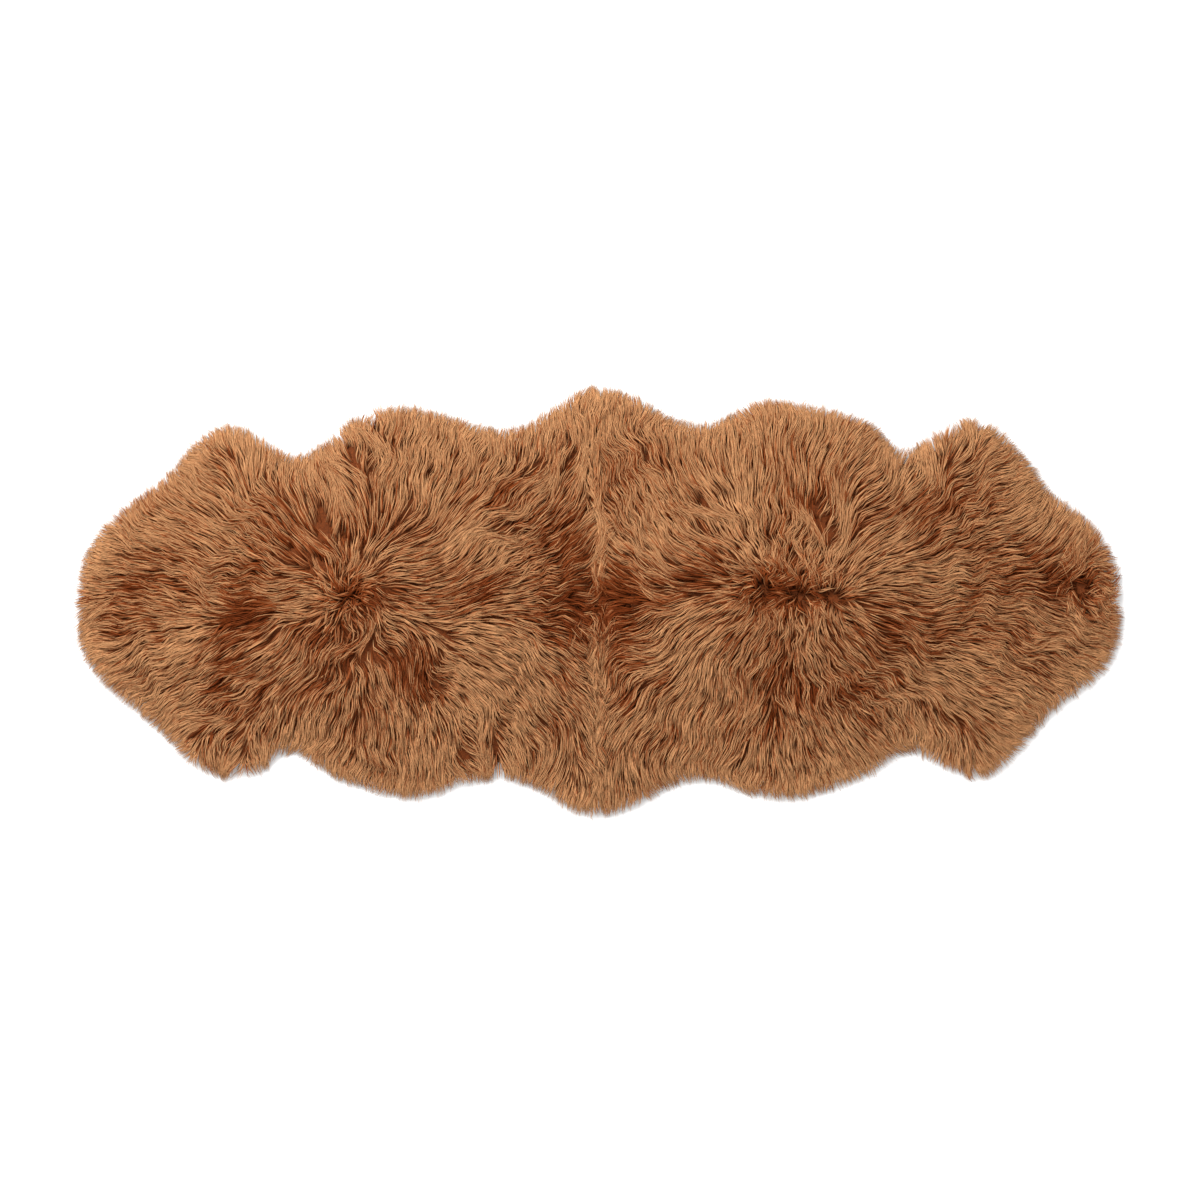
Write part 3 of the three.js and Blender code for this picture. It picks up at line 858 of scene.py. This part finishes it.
def underwool_material(wool):
    """The dense wool near the skin: mottled rust brown with a matted relief. Its brown is darkened to between
    0.22 and 0.5 of its light, as painted shade deep down in the wool.
    """
    shader = Shader("Underwool", specular_ior_level=0.15)
    place = shader.node("ShaderNodeTexCoord", output=3)
    matted = shader.noise(place, 260.0, 3.0, 0.65)
    patch = shader.noise(place, 30.0, 2.0)
    # Painted shade: the underwool's brown darkened to 0.22 and 0.5 of its light, for the shade deep down in
    # the wool.
    dark, pale = shaded(wool.brown_colour, 0.22), shaded(wool.brown_colour, 0.5)
    colour = shader.blend((matted * 0.7 + patch * 0.3).smoothed(0.3, 0.7), dark, pale)
    shader.bump(matted, 0.8, 0.002)
    return shader.paint(base_color=colour, roughness=0.8 + matted * 0.15)


def hide_material(hide):
    """Suede: mottled cream to tan, with a fine brushed nap."""
    shader = Shader("Suede", specular_ior_level=0.2, sheen_weight=0.35, sheen_roughness=0.5)
    place = shader.node("ShaderNodeTexCoord", output=3)
    x, y, z = shader.parts(place)
    nap = shader.noise(shader.vector(x, y * 2.6, z), 900.0, 4.0, 0.7)
    cloud = shader.noise(place, 9.0, 3.0, 0.55)
    vein = shader.noise(place, 34.0, 4.0, 0.6)
    pale, tan = tuple(hide.colour), tuple(hide.shade_colour)
    colour = shader.blend((cloud * 0.75 + vein * 0.35).smoothed(0.36, 0.74), pale, tan)
    colour = shader.blend(nap.smoothed(0.35, 0.8) * 0.35, colour, tan)
    shader.bump(nap * 0.7 + vein * 0.6, 0.35, 0.0008)
    return shader.paint(base_color=colour, roughness=0.78 + nap * 0.18)


def length_setting(name, description, default):
    """A length in metres that the user can change."""
    return bpy.props.FloatProperty(name=name, description=description, default=default, unit="LENGTH")


def angle_setting(name, description, default):
    """An angle in radians that the user can change."""
    return bpy.props.FloatProperty(name=name, description=description, default=default, subtype="ANGLE")


def colour_setting(name, description, display):
    """A colour that the user can change. Its default is given as a display colour."""
    return bpy.props.FloatVectorProperty(
        name=name, description=description, default=linear(display), subtype="COLOR", size=3
    )


class SheepskinHide(bpy.types.PropertyGroup):
    thickness: length_setting("Thickness", "Thickness of the tanned skin", 0.0025)
    overhang: length_setting("Wool Overhang", "How far the wool spreads past the skin", 0.038)
    colour: colour_setting("Colour", "Pale parts of the suede", (222, 196, 160))
    shade_colour: colour_setting("Shade", "Tanned parts of the suede", (186, 146, 106))


class SheepskinWool(bpy.types.PropertyGroup):
    pile_height: length_setting("Pile Height", "Height of the wool over the floor", 0.045)
    lock_length: length_setting("Lock Length", "Mean length of a lock, seen from above", 0.078)
    lock_turn: angle_setting("Lock Turn", "How much locks turn out of the wool's lie", 0.06)
    lock_bend: angle_setting("Lock Bend", "How much locks bend on their way", 0.42)
    lock_curl: length_setting("Lock Curl", "How far locks sway in an S", 0.003)
    root_colour: colour_setting("Root", "Colour of the wool at its root", (132, 60, 20))
    brown_colour: colour_setting("Brown", "Colour of rusty strands and of the underwool", (170, 88, 41))
    tip_colour: colour_setting("Tip", "Colour that honey strands reach", (220, 166, 116))
    rust_colour: colour_setting("Rust", "Colour of the very tips of rusty strands", (170, 84, 32))


class SheepskinStage(bpy.types.PropertyGroup):
    view_width: length_setting("View Width", "Width of floor that the picture shows", 2.063)
    camera_height: length_setting("Camera Height", "Height of the camera over the rug", 7.0)
    light_power: bpy.props.FloatProperty(
        name="Light", description="Power of the large soft light", default=200.0, subtype="POWER"
    )
    sky: bpy.props.FloatProperty(name="Sky", description="Strength of the even white light", default=1.0)


class SHEEPSKIN_OT_underwool(bpy.types.Operator):
    """Make the dense low wool next to the skins"""

    bl_idname = "sheepskin.underwool"
    bl_label = "Make Underwool"

    def execute(self, context):
        wool, hide = context.scene.sheepskin_wool, context.scene.sheepskin_hide
        material = underwool_material(wool)
        floor = hide.thickness / MM + OVER_SKIN
        inset = hide.overhang / MM - UNDERWOOL_REACH
        for pelt in make_pelts():
            plan = patch_of(pelt, inset, np.linspace(0, 1, 60), np.linspace(0, 1, 36))
            depth = mix(UNDERWOOL, UNDERWOOL_AT_PARTING, parting(pelt, plan))
            over = pile_height(pelt, plan, wool.pile_height / MM) - floor
            flat = np.full(plan.shape[:2], floor)
            points, faces = closed_sheet(plan, flat, floor + depth * np.maximum(over, 2), flat + 1)
            points, faces = on_its_side(pelt, points, faces)
            new_piece(f"underwool_{pelt.name}", points, faces, material, f"wool_{pelt.name}")
        return {"FINISHED"}


class SHEEPSKIN_OT_locks(bpy.types.Operator):
    """Make the long pointed locks of wool"""

    bl_idname = "sheepskin.locks"
    bl_label = "Make Locks"

    def execute(self, context):
        wool, hide = context.scene.sheepskin_wool, context.scene.sheepskin_hide
        material = wool_material(wool)
        margin = hide.overhang / MM - 3
        for pelt in make_pelts():
            rng = np.random.default_rng(pelt.seed)
            for coat in COATS:
                roots = rim_roots(pelt, coat.rim_spacing, margin, rng)
                if coat.spacing:
                    roots = np.vstack([roots, lock_roots(pelt, coat.spacing, margin, rng)])
                line, out, tone = strand_lines(pelt, roots, coat, wool, rng)
                strand_faces = 2 * STRAND_SIDES * len(coat.rings) - 2
                zones = math.ceil(len(line) * strand_faces / MOST_FACES)
                limits = np.quantile(out, np.linspace(0, 1, zones + 1))
                limits[-1] += 1
                for zone in range(zones):
                    chosen = (out >= limits[zone]) & (out < limits[zone + 1])
                    points, faces, uvs = strand_mesh(line[chosen], tone[chosen], coat)
                    name = f"{coat.name}_{zone + 1}_{pelt.name}"
                    new_piece(name, points, faces, material, f"wool_{pelt.name}", uvs)
        return {"FINISHED"}


class SHEEPSKIN_OT_hides(bpy.types.Operator):
    """Make the two tanned skins"""

    bl_idname = "sheepskin.hides"
    bl_label = "Make Skins"

    def execute(self, context):
        hide = context.scene.sheepskin_hide
        material = hide_material(hide)
        for pelt in make_pelts():
            plan = patch_of(pelt, hide.overhang / MM, crowded_ends(56), crowded_ends(34))
            thick = np.full(plan.shape[:2], hide.thickness / MM)
            points, faces = closed_sheet(plan, 0 * thick, thick, thick / 2)
            points, faces = on_its_side(pelt, points, faces)
            piece = new_piece(f"skin_{pelt.name}", points, faces, material, f"hide_{pelt.name}")
        return {"FINISHED"}


class SHEEPSKIN_OT_stage(bpy.types.Operator):
    """Make the floor, the lights and the camera"""

    bl_idname = "sheepskin.stage"
    bl_label = "Make Stage"

    def execute(self, context):
        scene, stage = context.scene, context.scene.sheepskin_stage
        scene.view_settings.view_transform = "Standard"
        mesh = bpy.data.meshes.new("floor")
        mesh.from_pydata([(-9, -9, 0), (9, -9, 0), (9, 9, 0), (-9, 9, 0)], [], [(0, 1, 2, 3)])
        floor = bpy.data.objects.new("floor", mesh)
        scene.collection.objects.link(floor)
        mesh.materials.append(Shader("Pale floor", base_color=(0.93, 0.93, 0.93, 1), roughness=0.9).material)

        scene.world = bpy.data.worlds.new("Even white light")
        scene.world.use_nodes = True
        sky = scene.world.node_tree.nodes["Background"]
        sky.inputs["Color"].default_value = (1, 1, 1, 1)
        sky.inputs["Strength"].default_value = stage.sky

        lamp = bpy.data.lights.new("Key light", "AREA")
        lamp.shape, lamp.size, lamp.energy = "SQUARE", 2.2, stage.light_power
        light = bpy.data.objects.new("Key light", lamp)
        scene.collection.objects.link(light)
        light.location = (-1.3, 2.0, 3.4)
        light.rotation_mode = "QUATERNION"
        light.rotation_quaternion = (-light.location).to_track_quat("-Z", "Y")

        camera = bpy.data.cameras.new("Camera")
        camera.sensor_width = 36
        camera.lens = camera.sensor_width * stage.camera_height / stage.view_width
        camera.clip_end = 60
        eye = bpy.data.objects.new("Camera", camera)
        scene.collection.objects.link(eye)
        eye.location = (0.0025, 0.0035, stage.camera_height)
        scene.camera = eye
        return {"FINISHED"}


class SHEEPSKIN_PT_panel(bpy.types.Panel):
    bl_label = "Sheepskin"
    bl_idname = "SHEEPSKIN_PT_panel"
    bl_space_type = "VIEW_3D"
    bl_region_type = "UI"
    bl_category = "Sheepskin"

    def draw(self, context):
        for group, operators in PANEL.items():
            box = self.layout.box()
            settings = getattr(context.scene, group)
            for name in settings.__annotations__:
                box.prop(settings, name)
            for operator in operators:
                box.operator(operator.bl_idname)


GROUPS = {"sheepskin_wool": SheepskinWool, "sheepskin_hide": SheepskinHide, "sheepskin_stage": SheepskinStage}
OPERATORS = (SHEEPSKIN_OT_underwool, SHEEPSKIN_OT_locks, SHEEPSKIN_OT_hides, SHEEPSKIN_OT_stage)
PANEL = {
    "sheepskin_wool": (SHEEPSKIN_OT_underwool, SHEEPSKIN_OT_locks),
    "sheepskin_hide": (SHEEPSKIN_OT_hides,),
    "sheepskin_stage": (SHEEPSKIN_OT_stage,),
}


def register():
    for cls in (*GROUPS.values(), *OPERATORS, SHEEPSKIN_PT_panel):
        bpy.utils.register_class(cls)
    for name, cls in GROUPS.items():
        setattr(bpy.types.Scene, name, bpy.props.PointerProperty(type=cls))


def unregister():
    for name in GROUPS:
        delattr(bpy.types.Scene, name)
    for cls in (SHEEPSKIN_PT_panel, *OPERATORS, *GROUPS.values()):
        bpy.utils.unregister_class(cls)


def main():
    register()
    bpy.ops.sheepskin.underwool()
    bpy.ops.sheepskin.locks()
    bpy.ops.sheepskin.hides()
    bpy.ops.sheepskin.stage()


if __name__ == "__main__":
    main()
